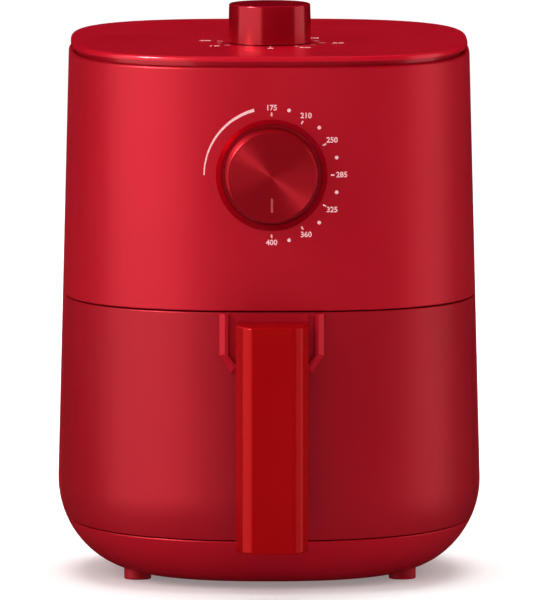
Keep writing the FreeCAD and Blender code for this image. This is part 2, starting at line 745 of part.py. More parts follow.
def column_face(z, inset):
    side = HANDLE_SIDE_HALF - inset
    bevel = HANDLE_BEVEL_HALF - inset
    face = HANDLE_FACE_HALF - inset * 0.4
    front = HANDLE_FRONT + inset
    corners = [(-side, HANDLE_BACK), (-bevel, HANDLE_FRONT + HANDLE_BEVEL_DEPTH), (-face, front),
               (face, front), (bevel, HANDLE_FRONT + HANDLE_BEVEL_DEPTH), (side, HANDLE_BACK)]
    points = [Vector(x, y, z) for x, y in corners]
    return Part.Face(Part.makePolygon(points + points[:1]))


def handle_shell():
    height = HANDLE_TOP - HANDLE_BOTTOM
    column = column_face(HANDLE_BOTTOM, 0.0).extrude(Vector(0, 0, height))

    def is_front_corner(edge):
        return edge.BoundBox.ZLength > height - 0.1 and edge.BoundBox.YMax < HANDLE_BACK - 0.1

    def is_end(edge):
        level = is_level(edge, HANDLE_TOP) or is_level(edge, HANDLE_BOTTOM)
        return level and edge.BoundBox.YMin < HANDLE_BACK - 0.1

    column = round_edges(column, HANDLE_EDGE_ROUND, is_front_corner)
    column = round_edges(column, HANDLE_END_ROUND, is_end)
    neck = box(-NECK_HALF, NECK_HALF, HANDLE_BACK - 0.5, BOSS_FRONT, NECK_BOTTOM, HANDLE_TOP)
    corner = box(-NECK_HALF, NECK_HALF, HANDLE_BACK - 0.5, HANDLE_BACK + NECK_ROUND,
                 NECK_BOTTOM - NECK_ROUND, NECK_BOTTOM)
    hollow = Part.makeCylinder(NECK_ROUND, 4 * NECK_HALF,
                               Vector(-2 * NECK_HALF, HANDLE_BACK + NECK_ROUND, NECK_BOTTOM - NECK_ROUND),
                               Vector(1, 0, 0))
    shell = join([column, neck, corner.cut(hollow)])
    pocket = column_face(HANDLE_BOTTOM + POCKET_MARGIN, HANDLE_SKIN)
    shell = shell.cut(pocket.extrude(Vector(0, 0, pocket_height())))
    for z in handle_screw_heights():
        boss_end = HANDLE_BACK - COVER_DEPTH - 0.1
        shell = shell.fuse(bar_y(HANDLE_SCREW_BOSS, 0, z, HANDLE_FRONT + 1.5, boss_end))
        shell = shell.cut(bar_y(SMALL_SCREW_RADIUS, 0, z, HANDLE_BACK - HANDLE_SCREW_LENGTH, HANDLE_BACK))
    for x in (-BOLT_X, BOLT_X):
        shell = shell.cut(bar_y(BOLT_RADIUS, x, BOLT_Z, HANDLE_BACK - BOLT_GRIP, 0))
    return shell


def pocket_height():
    return NECK_BOTTOM - NECK_ROUND - HANDLE_BOTTOM - POCKET_MARGIN - 1.0


def handle_cover():
    """Back half of the column, let into the shell's pocket."""
    plate = column_face(HANDLE_BOTTOM + POCKET_MARGIN + COVER_GAP, HANDLE_SKIN + COVER_GAP / 2)
    plate = plate.extrude(Vector(0, 0, pocket_height() - 2 * COVER_GAP))
    plate = plate.common(behind(HANDLE_BACK - COVER_DEPTH))
    for z in handle_screw_heights():
        plate = plate.cut(bar_y(SMALL_SCREW_RADIUS + 0.1, 0, z, HANDLE_BACK - COVER_DEPTH, 0))
        plate = plate.cut(bar_y(SMALL_HEAD_RADIUS + 0.3, 0, z, HANDLE_BACK - SMALL_HEAD_SINK, 0))
    return plate


def handle_screw_heights():
    return (HANDLE_BOTTOM + 14.0, NECK_BOTTOM - NECK_ROUND - 12.0)


def handle_screws():
    screws = []
    for z in handle_screw_heights():
        seat = HANDLE_BACK - SMALL_HEAD_SINK
        shank = bar_y(SMALL_SCREW_RADIUS, 0, z, HANDLE_BACK - HANDLE_SCREW_LENGTH, seat + 0.5)
        screws.append(shank.fuse(bar_y(SMALL_HEAD_RADIUS, 0, z, seat, HANDLE_BACK - 0.2)))
    return Part.makeCompound(screws)


def handle_bolts():
    seat = BODY_Y - front_half_depth(BOLT_Z) + PANEL_WALL + 0.4
    bolts = []
    for x in (-BOLT_X, BOLT_X):
        shank = bar_y(BOLT_RADIUS, x, BOLT_Z, HANDLE_BACK - BOLT_GRIP, seat + 1.0)
        bolts.append(shank.fuse(bar_y(BOLT_HEAD_RADIUS, x, BOLT_Z, seat, seat + BOLT_HEAD_HEIGHT)))
    return Part.makeCompound(bolts)


# ---------------------------------------------------------------- crisper tray
def tray_holes():
    holes = []
    count = int(TRAY_HALF_DEPTH / TRAY_HOLE_PITCH)
    for i in range(-count, count + 1):
        for j in range(-count, count + 1):
            x = i * TRAY_HOLE_PITCH
            y = j * TRAY_HOLE_PITCH
            across = abs(x / (TRAY_HALF_WIDTH - TRAY_MARGIN)) ** PAN_POWER
            along = abs(y / (TRAY_HALF_DEPTH - TRAY_MARGIN)) ** PAN_POWER
            if across + along < 1.0 and math.hypot(x, y) > TRAY_CENTRE_CLEAR:
                holes.append(post(TRAY_HOLE_RADIUS, x, PAN_Y + y, TRAY_SKIRT_BOTTOM, TRAY_TOP + 1))
    return Part.makeCompound(holes)


def crisper_tray():
    block = plan_prism(TRAY_HALF_WIDTH, TRAY_HALF_DEPTH, PAN_POWER, PAN_Y, TRAY_SKIRT_BOTTOM, TRAY_TOP)
    block = round_edges(block, TRAY_WALL * 0.7, lambda e: is_level(e, TRAY_TOP))
    inner = plan_prism(TRAY_HALF_WIDTH - TRAY_WALL, TRAY_HALF_DEPTH - TRAY_WALL, PAN_POWER, PAN_Y,
                       TRAY_SKIRT_BOTTOM, TRAY_BOTTOM)
    return block.cut(inner).cut(tray_holes())


def tray_feet():
    """Four silicone legs under the tray, clear of the pan's floor."""
    legs = []
    for sx in (-1, 1):
        for sy in (-1, 1):
            x = sx * TRAY_HOLE_PITCH * TRAY_FOOT_PITCHES
            y = PAN_Y + sy * TRAY_HOLE_PITCH * TRAY_FOOT_PITCHES
            legs.append(post(TRAY_FOOT_RADIUS, x, y, PAN_BOTTOM + PAN_WALL + 0.3, TRAY_BOTTOM))
    return Part.makeCompound(legs)


def tray_knob():
    head_bottom = TRAY_KNOB_TOP - TRAY_KNOB_HEIGHT
    stem = post(TRAY_STEM_RADIUS, 0, PAN_Y, TRAY_TOP, head_bottom + 1.0)
    head = post(TRAY_KNOB_RADIUS, 0, PAN_Y, head_bottom, TRAY_KNOB_TOP)
    head = round_edges(head, TRAY_KNOB_HEIGHT / 3, lambda e: e.BoundBox.XLength > 1.0)
    return stem.fuse(head)


# ---------------------------------------------------------------- dials
def turned(profile):
    """Solid of revolution from (radius, height) points about +Z."""
    points = [Vector(r, 0, h) for r, h in profile]
    face = Part.Face(Part.makePolygon(points + points[:1]))
    return face.revolve(Vector(0, 0, 0), Vector(0, 0, 1), 360)


def lay_forward(shape, z, y_back):
    """Turn a piece made along +Z so that it points to the front."""
    shape.rotate(Vector(0, 0, 0), Vector(1, 0, 0), 90)
    shape.translate(Vector(0, y_back, z))
    return shape


def temperature_knob():
    length = KNOB_BACK - KNOB_FACE
    inner = KNOB_BASE_RADIUS - KNOB_SKIN
    cup = turned([(SHAFT_RADIUS, 1.5), (HUB_RADIUS, 1.5), (HUB_RADIUS, length - KNOB_SKIN),
                  (inner - 0.8, length - KNOB_SKIN), (inner, 0.0), (KNOB_BASE_RADIUS, 0.0),
                  (KNOB_FACE_RADIUS, length - KNOB_CHAMFER), (KNOB_FACE_RADIUS - KNOB_CHAMFER, length),
                  (0.0, length), (0.0, length - SHAFT_GRIP), (SHAFT_RADIUS, length - SHAFT_GRIP)])
    return lay_forward(cup.cut(pointer_bar(0.0)), DIAL_Z, KNOB_BACK)


def pointer_bar(proud):
    """Inlaid line on the knob's face, before the knob is laid forward."""
    face = KNOB_BACK - KNOB_FACE
    return box(-POINTER_HALF, POINTER_HALF, -POINTER_OUTER, -POINTER_INNER,
               face - POINTER_DEPTH, face + proud)


def temperature_pointer():
    return lay_forward(pointer_bar(POINTER_PROUD), DIAL_Z, KNOB_BACK)


def thermostat_body():
    front = DISH_FLOOR + DISH_WALL
    body = box(-THERMOSTAT_HALF, THERMOSTAT_HALF, front, THERMOSTAT_BACK,
               DIAL_Z - THERMOSTAT_HALF_HEIGHT, DIAL_Z + THERMOSTAT_HALF_HEIGHT)
    body = body.fuse(bar_y(THERMOSTAT_BUSH, 0, DIAL_Z, DISH_FLOOR, front))
    return body.cut(bar_y(RUNNING_BORE, 0, DIAL_Z, -FAR, THERMOSTAT_BORE_END))


def thermostat_shaft():
    return bar_y(SHAFT_RADIUS, 0, DIAL_Z, KNOB_FACE + SHAFT_GRIP, THERMOSTAT_BORE_END - 0.3)


def thermostat_bulb():
    y = THERMOSTAT_BACK + BULB_REACH
    tube = bar_y(CAPILLARY_RADIUS, 0, BULB_Z, THERMOSTAT_BACK, y)
    return tube.fuse(rod(COIL_TUBE, Vector(-BULB_HALF, y, BULB_Z), Vector(BULB_HALF, y, BULB_Z)))


def timer_knob():
    height = TIMER_KNOB_TOP - TIMER_KNOB_BOTTOM
    inner = TIMER_KNOB_RADIUS - KNOB_SKIN
    bore_top = height - TIMER_SHAFT_DROP
    cup = turned([(SHAFT_RADIUS, 1.0), (HUB_RADIUS, 1.0), (HUB_RADIUS, height - KNOB_SKIN),
                  (inner - 0.5, height - KNOB_SKIN), (inner, 0.0), (TIMER_KNOB_RADIUS, 0.0),
                  (TIMER_KNOB_TOP_RADIUS, height), (0.0, height), (0.0, bore_top), (SHAFT_RADIUS, bore_top)])
    cup = round_edges(cup, 1.0, lambda e: is_level(e, height))
    cup.translate(Vector(0, TIMER_Y, TIMER_KNOB_BOTTOM))
    return cup


def timer_shaft():
    return post(SHAFT_RADIUS, 0, TIMER_Y, TIMER_BORE_FLOOR + 0.3, TIMER_KNOB_TOP - TIMER_SHAFT_DROP)


def timer_body():
    body = box(-TIMER_BODY_HALF, TIMER_BODY_HALF, TIMER_BODY_FRONT, TIMER_BODY_BACK,
               TIMER_BODY_BOTTOM, TIMER_BODY_TOP)
    return body.cut(post(RUNNING_BORE, 0, TIMER_Y, TIMER_BORE_FLOOR, FAR))


def timer_plate():
    plate = box(-TIMER_PLATE_HALF, TIMER_PLATE_HALF, TIMER_BODY_FRONT - TIMER_PLATE_MARGIN,
                TIMER_BODY_BACK + TIMER_PLATE_MARGIN, TIMER_BODY_TOP, TIMER_PLATE_TOP)
    plate = plate.cut(post(SHAFT_RADIUS + 1.0, 0, TIMER_Y, 0, FAR))
    for x in timer_screw_places():
        plate = plate.cut(post(SMALL_SCREW_RADIUS, x, TIMER_SCREW_Y, 0, FAR))
    return plate


def timer_screws():
    screws = []
    for x in timer_screw_places():
        shank = post(SMALL_SCREW_RADIUS, x, TIMER_SCREW_Y, TIMER_BODY_TOP - 1.0, LID_BOTTOM - 1.5)
        head = post(SMALL_HEAD_RADIUS, x, TIMER_SCREW_Y, TIMER_BODY_TOP - SMALL_HEAD_SINK, TIMER_BODY_TOP)
        screws.append(shank.fuse(head))
    return Part.makeCompound(screws)


def timer_bell():
    """Shallow bell cup on a short centre stud, hung under the timer."""
    bell = turned([(0, 0), (2.0, 0), (2.0, 3.6), (12.0, 2.6), (14.0, 0), (15.0, 0), (12.8, 4.0),
                   (0, BELL_HEIGHT)])
    bell.translate(Vector(0, TIMER_SCREW_Y, TIMER_BODY_BOTTOM - BELL_HEIGHT))
    return bell


# ---------------------------------------------------------------- heat chamber
def chamber_block(inset, z0, z1):
    return plan_prism(CHAMBER_HALF_WIDTH - inset, CHAMBER_HALF_DEPTH - inset, PAN_POWER, CHAMBER_Y, z0, z1)


def lead_places():
    return [polar(COIL_RADIUS, degrees, 0, CHAMBER_Y) - heater_along(degrees) * LEAD_BEND
            for degrees in LEAD_ANGLES]


def bracket_leg_places():
    return [polar(LEG_CIRCLE, degrees, 0, CHAMBER_Y) for degrees in (30, 150, 270)]


def heat_chamber():
    outer = chamber_block(0.0, CEILING_BOTTOM, CHAMBER_TOP)
    flange = chamber_block(-CHAMBER_FLANGE, CEILING_TOP, CEILING_TOP + SHEET)
    chamber = join([outer, flange]).cut(chamber_block(SHEET, CEILING_BOTTOM, CHAMBER_TOP - SHEET))
    chamber = chamber.cut(roof_hole(SHAFT_CLEARANCE_HOLE, Vector(0, CHAMBER_Y, 0)))
    for place in lead_places():
        chamber = chamber.cut(roof_hole(COIL_TUBE + 0.4, place))
    chamber = chamber.cut(bar_y(CAPILLARY_RADIUS + 0.4, 0, BULB_Z, THERMOSTAT_BACK, CHAMBER_Y))
    for row in range(VENT_ROWS):
        z = VENT_LOW + row * VENT_PITCH
        chamber = chamber.cut(box(-VENT_HALF, VENT_HALF, CHAMBER_Y, FAR, z, z + VENT_HEIGHT))
    return chamber


def roof_hole(radius, place):
    """Cutter for a hole through the chamber's roof and the pad on it."""
    return post(radius, place.x, place.y, COIL_HIGH + 2 * COIL_TUBE, PAD_TOP + 1.0)


def insulation_pad():
    pad = chamber_block(PAD_INSET, CHAMBER_TOP, PAD_TOP)
    pad = pad.cut(roof_hole(SHAFT_CLEARANCE_HOLE + 2.0, Vector(0, CHAMBER_Y, 0)))
    for place in lead_places():
        pad = pad.cut(roof_hole(COIL_TUBE + 1.2, place))
    for place in bracket_leg_places():
        pad = pad.cut(roof_hole(LEG_RADIUS, place))
    return pad.cut(roof_hole(CUTOUT_RADIUS + 0.4, Vector(CUTOUT_X, CUTOUT_Y, 0)))


def thermal_cutout():
    """Round bimetal switch with two upright tabs."""
    top = CHAMBER_TOP + CUTOUT_HEIGHT
    pieces = [post(CUTOUT_RADIUS, CUTOUT_X, CUTOUT_Y, CHAMBER_TOP, top)]
    for x in (CUTOUT_X - TAB_X, CUTOUT_X + TAB_X):
        pieces.append(box(x - TAB_HALF_THICKNESS, x + TAB_HALF_THICKNESS, CUTOUT_Y - TAB_HALF_WIDTH,
                          CUTOUT_Y + TAB_HALF_WIDTH, top, top + TAB_HEIGHT))
    return join(pieces)


def ring(z, radius, tube):
    return Part.makeTorus(radius, tube, Vector(0, CHAMBER_Y, z), Vector(0, 0, 1))


def loop_arc(z, start, end):
    """Level arc of the heater's centre line, from start to end degrees."""
    points = [polar(COIL_RADIUS, start + part * (end - start), z, CHAMBER_Y) for part in (0.0, 0.5, 1.0)]
    return Part.Arc(*points).toShape()


def heater_along(degrees):
    """Unit vector along the heater loop, counterclockwise."""
    return polar(1.0, degrees + 90, 0, 0)


def lead_bend(degrees, z):
    """Quarter bend from an upright lead into the level loop."""
    end = polar(COIL_RADIUS, degrees, z, CHAMBER_Y)
    along = heater_along(degrees) * LEAD_BEND
    centre = end + Vector(0, 0, LEAD_BEND)
    middle = centre - (along + Vector(0, 0, LEAD_BEND)) * math.sqrt(0.5)
    return Part.Arc(centre - along, middle, end).toShape()


def heating_element():
    """Two-turn heater tube with a return bend and two upright leads."""
    rise = COIL_HIGH - COIL_LOW
    low_end = polar(COIL_RADIUS, COIL_RETURN, COIL_LOW, CHAMBER_Y)
    bulge = low_end + heater_along(COIL_RETURN) * (rise / 2) + Vector(0, 0, rise / 2)
    turn = Part.Arc(low_end, bulge, low_end + Vector(0, 0, rise)).toShape()
    edges = [turn]
    for degrees, z in zip(LEAD_ANGLES, (COIL_LOW, COIL_HIGH)):
        half = COIL_RETURN + 180
        edges.append(loop_arc(z, degrees, half))
        edges.append(loop_arc(z, half, COIL_RETURN + 360))
        bend = lead_bend(degrees, z)
        lead = bend.Vertexes[0].Point
        edges.append(bend)
        edges.append(Part.makeLine(Vector(lead.x, lead.y, LEAD_TOP), lead))
    path = Part.Wire(Part.__sortEdges__(edges))
    start = path.OrderedVertexes[0].Point
    section = Part.Wire(Part.makeCircle(COIL_TUBE, start, Vector(0, 0, 1)))
    return path.makePipeShell([section], True, False)


def element_terminals():
    pins = []
    for place in lead_places():
        pins.append(post(TERMINAL_RADIUS, place.x, place.y, LEAD_TOP, LEAD_TOP + TERMINAL_HEIGHT))
    return Part.makeCompound(pins)


def element_guard():
    pieces = [ring(GUARD_Z, radius, GUARD_WIRE) for radius in GUARD_RINGS]
    for degrees in range(0, 360, 45):
        spoke = box(GUARD_RINGS[0] - 1.0, GUARD_RINGS[-1] + 1.0, -GUARD_SPOKE_HALF, GUARD_SPOKE_HALF,
                    GUARD_SPOKE_LOW, GUARD_SPOKE_HIGH)
        spoke.rotate(Vector(0, 0, 0), Vector(0, 0, 1), degrees)
        spoke.translate(Vector(0, CHAMBER_Y, 0))
        pieces.append(spoke)
    return join(pieces)


# ---------------------------------------------------------------- fan and motor
def blade(inner, outer, z0, z1, degrees, lean):
    piece = box(inner, outer, -BLADE_HALF, BLADE_HALF, z0, z1)
    piece.rotate(Vector(inner, 0, 0), Vector(0, 0, 1), lean)
    piece.rotate(Vector(0, 0, 0), Vector(0, 0, 1), degrees)
    piece.translate(Vector(0, CHAMBER_Y, 0))
    return piece


def wheel(radius, plate, hub, blades, count, lean):
    """Fan wheel: plate, hub and blades are (low, high) heights."""
    pieces = [post(radius, 0, CHAMBER_Y, *plate), post(WHEEL_HUB_RADIUS, 0, CHAMBER_Y, *hub)]
    for i in range(count):
        pieces.append(blade(BLADE_START, radius - BLADE_MARGIN, *blades, 360.0 * i / count, lean))
    return join(pieces).cut(shaft_bore(SHAFT_RADIUS))


def shaft_bore(radius):
    return post(radius, 0, CHAMBER_Y, 0, FAR)


def hot_air_impeller():
    return wheel(IMPELLER_RADIUS, (IMPELLER_PLATE, IMPELLER_TOP), (IMPELLER_HUB_BOTTOM, IMPELLER_TOP),
                 (IMPELLER_BOTTOM, IMPELLER_PLATE), IMPELLER_BLADES, IMPELLER_LEAN)


def cooling_fan():
    return wheel(FAN_RADIUS, (FAN_BOTTOM, FAN_PLATE), (FAN_BOTTOM, FAN_TOP),
                 (FAN_PLATE, FAN_BLADE_TOP), FAN_BLADES, FAN_LEAN)


def impeller_nut():
    corners = [polar(NUT_RADIUS, 60 * i, NUT_BOTTOM, CHAMBER_Y) for i in range(6)]
    nut = Part.Face(Part.makePolygon(corners + corners[:1]))
    return nut.extrude(Vector(0, 0, IMPELLER_HUB_BOTTOM - NUT_BOTTOM)).cut(shaft_bore(SHAFT_RADIUS))


def fan_shaft():
    return post(SHAFT_RADIUS, 0, CHAMBER_Y, SHAFT_BOTTOM, MOTOR_TOP + 2.0)


def motor_rotor():
    return post(ROTOR_RADIUS, 0, CHAMBER_Y, ROTOR_BOTTOM, ROTOR_TOP).cut(shaft_bore(SHAFT_RADIUS))


def motor_screw_places():
    return [polar(MOTOR_SCREW_CIRCLE, degrees, 0, CHAMBER_Y) for degrees in (45, 225)]


def motor_stator():
    body = post(MOTOR_RADIUS, 0, CHAMBER_Y, BRACKET_TOP + CAP_WALL, MOTOR_TOP - CAP_WALL)
    return drill_for_screws(body.cut(shaft_bore(ROTOR_CAVITY)))


def drill_for_screws(piece):
    for place in motor_screw_places():
        piece = piece.cut(post(SMALL_SCREW_RADIUS, place.x, place.y, 0, FAR))
    return piece


def motor_cap(z0):
    cap = post(MOTOR_RADIUS + 1.0, 0, CHAMBER_Y, z0, z0 + CAP_WALL)
    return drill_for_screws(cap.cut(shaft_bore(RUNNING_BORE)))


def motor_screws():
    screws = []
    for place in motor_screw_places():
        shank = post(SMALL_SCREW_RADIUS, place.x, place.y, BRACKET_TOP, MOTOR_TOP)
        head = post(SMALL_HEAD_RADIUS, place.x, place.y, MOTOR_TOP, MOTOR_TOP + MOTOR_HEAD_HEIGHT)
        screws.append(shank.fuse(head))
    return Part.makeCompound(screws)


def motor_bracket():
    pieces = [post(BRACKET_RADIUS, 0, CHAMBER_Y, BRACKET_BOTTOM, BRACKET_TOP)]
    for place in bracket_leg_places():
        pieces.append(post(LEG_RADIUS, place.x, place.y, CHAMBER_TOP, BRACKET_BOTTOM))
    bracket = join(pieces).cut(shaft_bore(BRACKET_HOLE))
    for degrees in range(0, 360, 60):
        vent = polar(BRACKET_VENT_CIRCLE, degrees, 0, CHAMBER_Y)
        bracket = bracket.cut(post(BRACKET_VENT_RADIUS, vent.x, vent.y, 0, FAR))
    return bracket


# ---------------------------------------------------------------- back
def rear_window(grow):
    """Block behind the body's axis, as large as the grille opening and grown by grow."""
    half = GRILLE_HALF + grow
    return box(-half, half, BODY_Y, FAR, GRILLE_LOW - grow, GRILLE_HIGH + grow)


def rear_grille():
    plate = body_form(0.4).cut(body_form(GRILLE_BACK)).common(rear_window(-GRILLE_GAP))
    flange = body_form(WALL + 0.1).cut(body_form(GRILLE_BACK)).common(rear_window(GRILLE_FLANGE))
    grille = join([plate, flange])
    half = GRILLE_HALF - GRILLE_MARGIN
    z = GRILLE_LOW + GRILLE_MARGIN
    while z + LOUVER_HEIGHT < GRILLE_HIGH - GRILLE_MARGIN:
        grille = grille.cut(box(-half, half, BODY_Y, FAR, z, z + LOUVER_HEIGHT))
        z += LOUVER_PITCH
    return grille


def exhaust_duct():
    front = CHAMBER_Y + CHAMBER_HALF_DEPTH + 0.3
    inner_half = DUCT_HALF - DUCT_WALL
    outer = box(-DUCT_HALF, DUCT_HALF, front, FAR, DUCT_LOW, DUCT_HIGH)
    inner = box(-inner_half, inner_half, front, FAR, DUCT_LOW + DUCT_WALL, DUCT_HIGH - DUCT_WALL)
    return outer.cut(inner).common(body_form(GRILLE_BACK + 0.3))


def cord_gland():
    front = GLAND_BACK - 16.4
    outer = bar_y(GLAND_BODY, GLAND_X, GLAND_Z, front, GLAND_BACK - 1.4)
    flange = bar_y(GLAND_FLANGE, GLAND_X, GLAND_Z, BODY_Y + 105, GLAND_BACK)
    flange = round_edges(flange, GLAND_ROUND, lambda e: e.BoundBox.YMin > GLAND_BACK - 0.4).cut(FORM)
    return join([outer, flange]).cut(bar_y(GLAND_BORE, GLAND_X, GLAND_Z, BODY_Y, FAR))


def terminal_block():
    """Three-way block for the supply wires."""
    half = TERMINAL_BLOCK_HALF
    back = REAR_FACE + TERMINAL_BLOCK_DEPTH
    middle = (REAR_FACE + back) / 2
    block = box(-half, half, REAR_FACE, back, TERMINAL_BLOCK_LOW, TERMINAL_BLOCK_HIGH)
    pitch = 2 * half / 3
    for i in (-1, 0, 1):
        block = block.cut(post(WELL_RADIUS, i * pitch, middle, TERMINAL_BLOCK_HIGH - WELL_DEPTH, FAR))
    return block


def drawer_switch():
    body = box(-SWITCH_HALF_WIDTH, SWITCH_HALF_WIDTH, REAR_FACE, REAR_FACE + SWITCH_DEPTH,
               SWITCH_Z - SWITCH_HALF_HEIGHT, SWITCH_Z + SWITCH_HALF_HEIGHT)
    return body.cut(bar_y(PLUNGER_RADIUS + 0.05, 0, SWITCH_Z, BODY_Y, REAR_FACE + PLUNGER_LENGTH + 1.0))


def switch_plunger():
    tip = PAN_Y + PAN_HALF_DEPTH + 0.35
    return bar_y(PLUNGER_RADIUS, 0, SWITCH_Z, tip, REAR_FACE + PLUNGER_LENGTH)


# ---------------------------------------------------------------- output
def all_parts():
    parts = {
        "housing_shell": housing_shell(),
        "lid_cover": lid_cover(),
        "base_pan": base_pan(),
        "base_deck": base_deck(),
        "base_screws": base_screws(),
        "bay_ceiling": bay_ceiling(),
        "bay_liner": bay_liner(),
        "bay_floor": bay_floor(),
        "glide_rails": glide_rails(),
        "heat_chamber": heat_chamber(),
        "insulation_pad": insulation_pad(),
        "thermal_cutout": thermal_cutout(),
        "heating_element": heating_element(),
        "element_terminals": element_terminals(),
        "element_guard": element_guard(),
        "motor_bracket": motor_bracket(),
        "motor_stator": motor_stator(),
        "motor_cap_lower": motor_cap(BRACKET_TOP),
        "motor_cap_upper": motor_cap(MOTOR_TOP - CAP_WALL),
        "motor_screws": motor_screws(),
        "fan_shaft": fan_shaft(),
        "motor_rotor": motor_rotor(),
        "hot_air_impeller": hot_air_impeller(),
        "cooling_fan": cooling_fan(),
        "impeller_nut": impeller_nut(),
        "thermostat_body": thermostat_body(),
        "thermostat_bulb": thermostat_bulb(),
        "thermostat_shaft": thermostat_shaft(),
        "temperature_knob": temperature_knob(),
        "temperature_pointer": temperature_pointer(),
        "timer_body": timer_body(),
        "timer_plate": timer_plate(),
        "timer_screws": timer_screws(),
        "timer_bell": timer_bell(),
        "timer_shaft": timer_shaft(),
        "timer_knob": timer_knob(),
        "rear_grille": rear_grille(),
        "exhaust_duct": exhaust_duct(),
        "cord_gland": cord_gland(),
        "terminal_block": terminal_block(),
        "drawer_switch": drawer_switch(),
        "switch_plunger": switch_plunger(),
        "drawer_front": drawer_front(),
        "drawer_cover": drawer_cover(),
        "pan": pan(),
        "pan_bracket": pan_bracket(),
        "pan_screws": pan_screws(),
        "handle_boss": handle_boss(),
        "handle_shell": handle_shell(),
        "handle_cover": handle_cover(),
        "handle_screws": handle_screws(),
        "handle_bolts": handle_bolts(),
        "crisper_tray": crisper_tray(),
        "tray_feet": tray_feet(),
        "tray_knob": tray_knob(),
    }
    for side, side_name in ((-1, "left"), (1, "right")):
        for end, end_name in ((-1, "front"), (1, "back")):
            parts["foot_" + end_name + "_" + side_name] = foot(side, end)
    return parts


os.makedirs("parts", exist_ok=True)
for name, shape in all_parts().items():
    if not shape.isValid():
        print("not valid:", name)
    print(name, len(shape.Solids), round(shape.Volume, 1))
    shape.exportStep(os.path.join("parts", name + ".step"))
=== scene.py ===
import json
import math

import bmesh
import bpy
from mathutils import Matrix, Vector
from mathutils.bvhtree import BVHTree


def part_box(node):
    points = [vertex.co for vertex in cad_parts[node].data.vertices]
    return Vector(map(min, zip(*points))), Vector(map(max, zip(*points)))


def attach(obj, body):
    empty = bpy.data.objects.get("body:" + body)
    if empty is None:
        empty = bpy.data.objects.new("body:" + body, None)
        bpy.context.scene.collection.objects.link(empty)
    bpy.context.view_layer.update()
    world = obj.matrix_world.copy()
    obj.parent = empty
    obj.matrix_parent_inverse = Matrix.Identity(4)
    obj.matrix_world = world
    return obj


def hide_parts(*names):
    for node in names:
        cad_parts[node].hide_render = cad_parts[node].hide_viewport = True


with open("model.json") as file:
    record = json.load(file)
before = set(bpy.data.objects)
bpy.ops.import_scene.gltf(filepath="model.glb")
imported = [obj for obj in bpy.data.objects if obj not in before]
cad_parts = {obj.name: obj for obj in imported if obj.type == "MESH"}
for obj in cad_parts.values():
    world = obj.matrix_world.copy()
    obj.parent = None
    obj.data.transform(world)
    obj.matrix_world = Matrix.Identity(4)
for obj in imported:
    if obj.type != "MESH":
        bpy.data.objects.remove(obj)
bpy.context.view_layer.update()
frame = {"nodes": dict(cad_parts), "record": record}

# Compact hot-air fryer. Metres, in the CAD model's frame: +Z up, the front faces -Y.

MM = 0.001
NODES = frame["nodes"]


# ---------------------------------------------------------------- places taken from the frame
def middle(node):
    low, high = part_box(node)
    return (low + high) / 2


DIAL = middle("temperature_knob")
TIMER = middle("timer_knob")
LID_TOP_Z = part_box("lid_cover")[1].z
FRONT_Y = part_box("housing_shell")[0].y


# ---------------------------------------------------------------- materials
# A linear colour is (red, green, blue). Texture scales are in features per metre.
class Finish:
    """One procedural material and the nodes that its parts share."""

    def __init__(self, name):
        self.material = bpy.data.materials.new(name)
        self.material.use_nodes = True
        self.nodes = self.material.node_tree.nodes
        self.links = self.material.node_tree.links
        self.shader = self.nodes["Principled BSDF"]
        self.place = self.nodes.new("ShaderNodeTexCoord").outputs["Object"]

    def set(self, **values):
        for name, value in values.items():
            self.shader.inputs[name.replace("_", " ")].default_value = value
        return self

    def stretched(self, scale):
        mapping = self.nodes.new("ShaderNodeMapping")
        mapping.inputs["Scale"].default_value = scale
        self.links.new(self.place, mapping.inputs["Vector"])
        return mapping.outputs["Vector"]

    def noise(self, scale, detail=3.0, rough=0.55, place=None):
        node = self.nodes.new("ShaderNodeTexNoise")
        node.inputs["Scale"].default_value = scale
        node.inputs["Detail"].default_value = detail
        node.inputs["Roughness"].default_value = rough
        self.links.new(place or self.place, node.inputs["Vector"])
        return node.outputs["Fac"]

    def cells(self, scale):
        node = self.nodes.new("ShaderNodeTexVoronoi")
        node.inputs["Scale"].default_value = scale
        self.links.new(self.place, node.inputs["Vector"])
        return node.outputs["Distance"]

    def spread(self, value, low, high, start=0.3, stop=0.7):
        """Maps a 0-1 texture value from start-stop to low-high."""
        node = self.nodes.new("ShaderNodeMapRange")
        for name, number in (("From Min", start), ("From Max", stop), ("To Min", low), ("To Max", high)):
            node.inputs[name].default_value = number
        self.links.new(value, node.inputs["Value"])
        return node.outputs["Result"]

    def sums(self, first, second):
        node = self.nodes.new("ShaderNodeMath")
        node.operation = "ADD"
        self.links.new(first, node.inputs[0])
        self.links.new(second, node.inputs[1])
        return node.outputs["Value"]

    def colours(self, value, stops):
        """Colours the surface by a texture value: stops are (place, colour)."""
        node = self.nodes.new("ShaderNodeValToRGB")
        ramp = node.color_ramp
        while len(ramp.elements) < len(stops):
            ramp.elements.new(0.5)
        for element, (place, colour) in zip(ramp.elements, stops):
            element.position = place
            element.color = (*colour, 1.0)
        self.links.new(value, node.inputs["Fac"])
        self.links.new(node.outputs["Color"], self.shader.inputs["Base Color"])

    def roughness(self, value):
        self.links.new(value, self.shader.inputs["Roughness"])

    def bump(self, value, height):
        node = self.nodes.new("ShaderNodeBump")
        node.inputs["Distance"].default_value = height
        self.links.new(value, node.inputs["Height"])
        self.links.new(node.outputs["Normal"], self.shader.inputs["Normal"])


def shade(colour, amount):
    return tuple(min(1.0, part * amount) for part in colour)


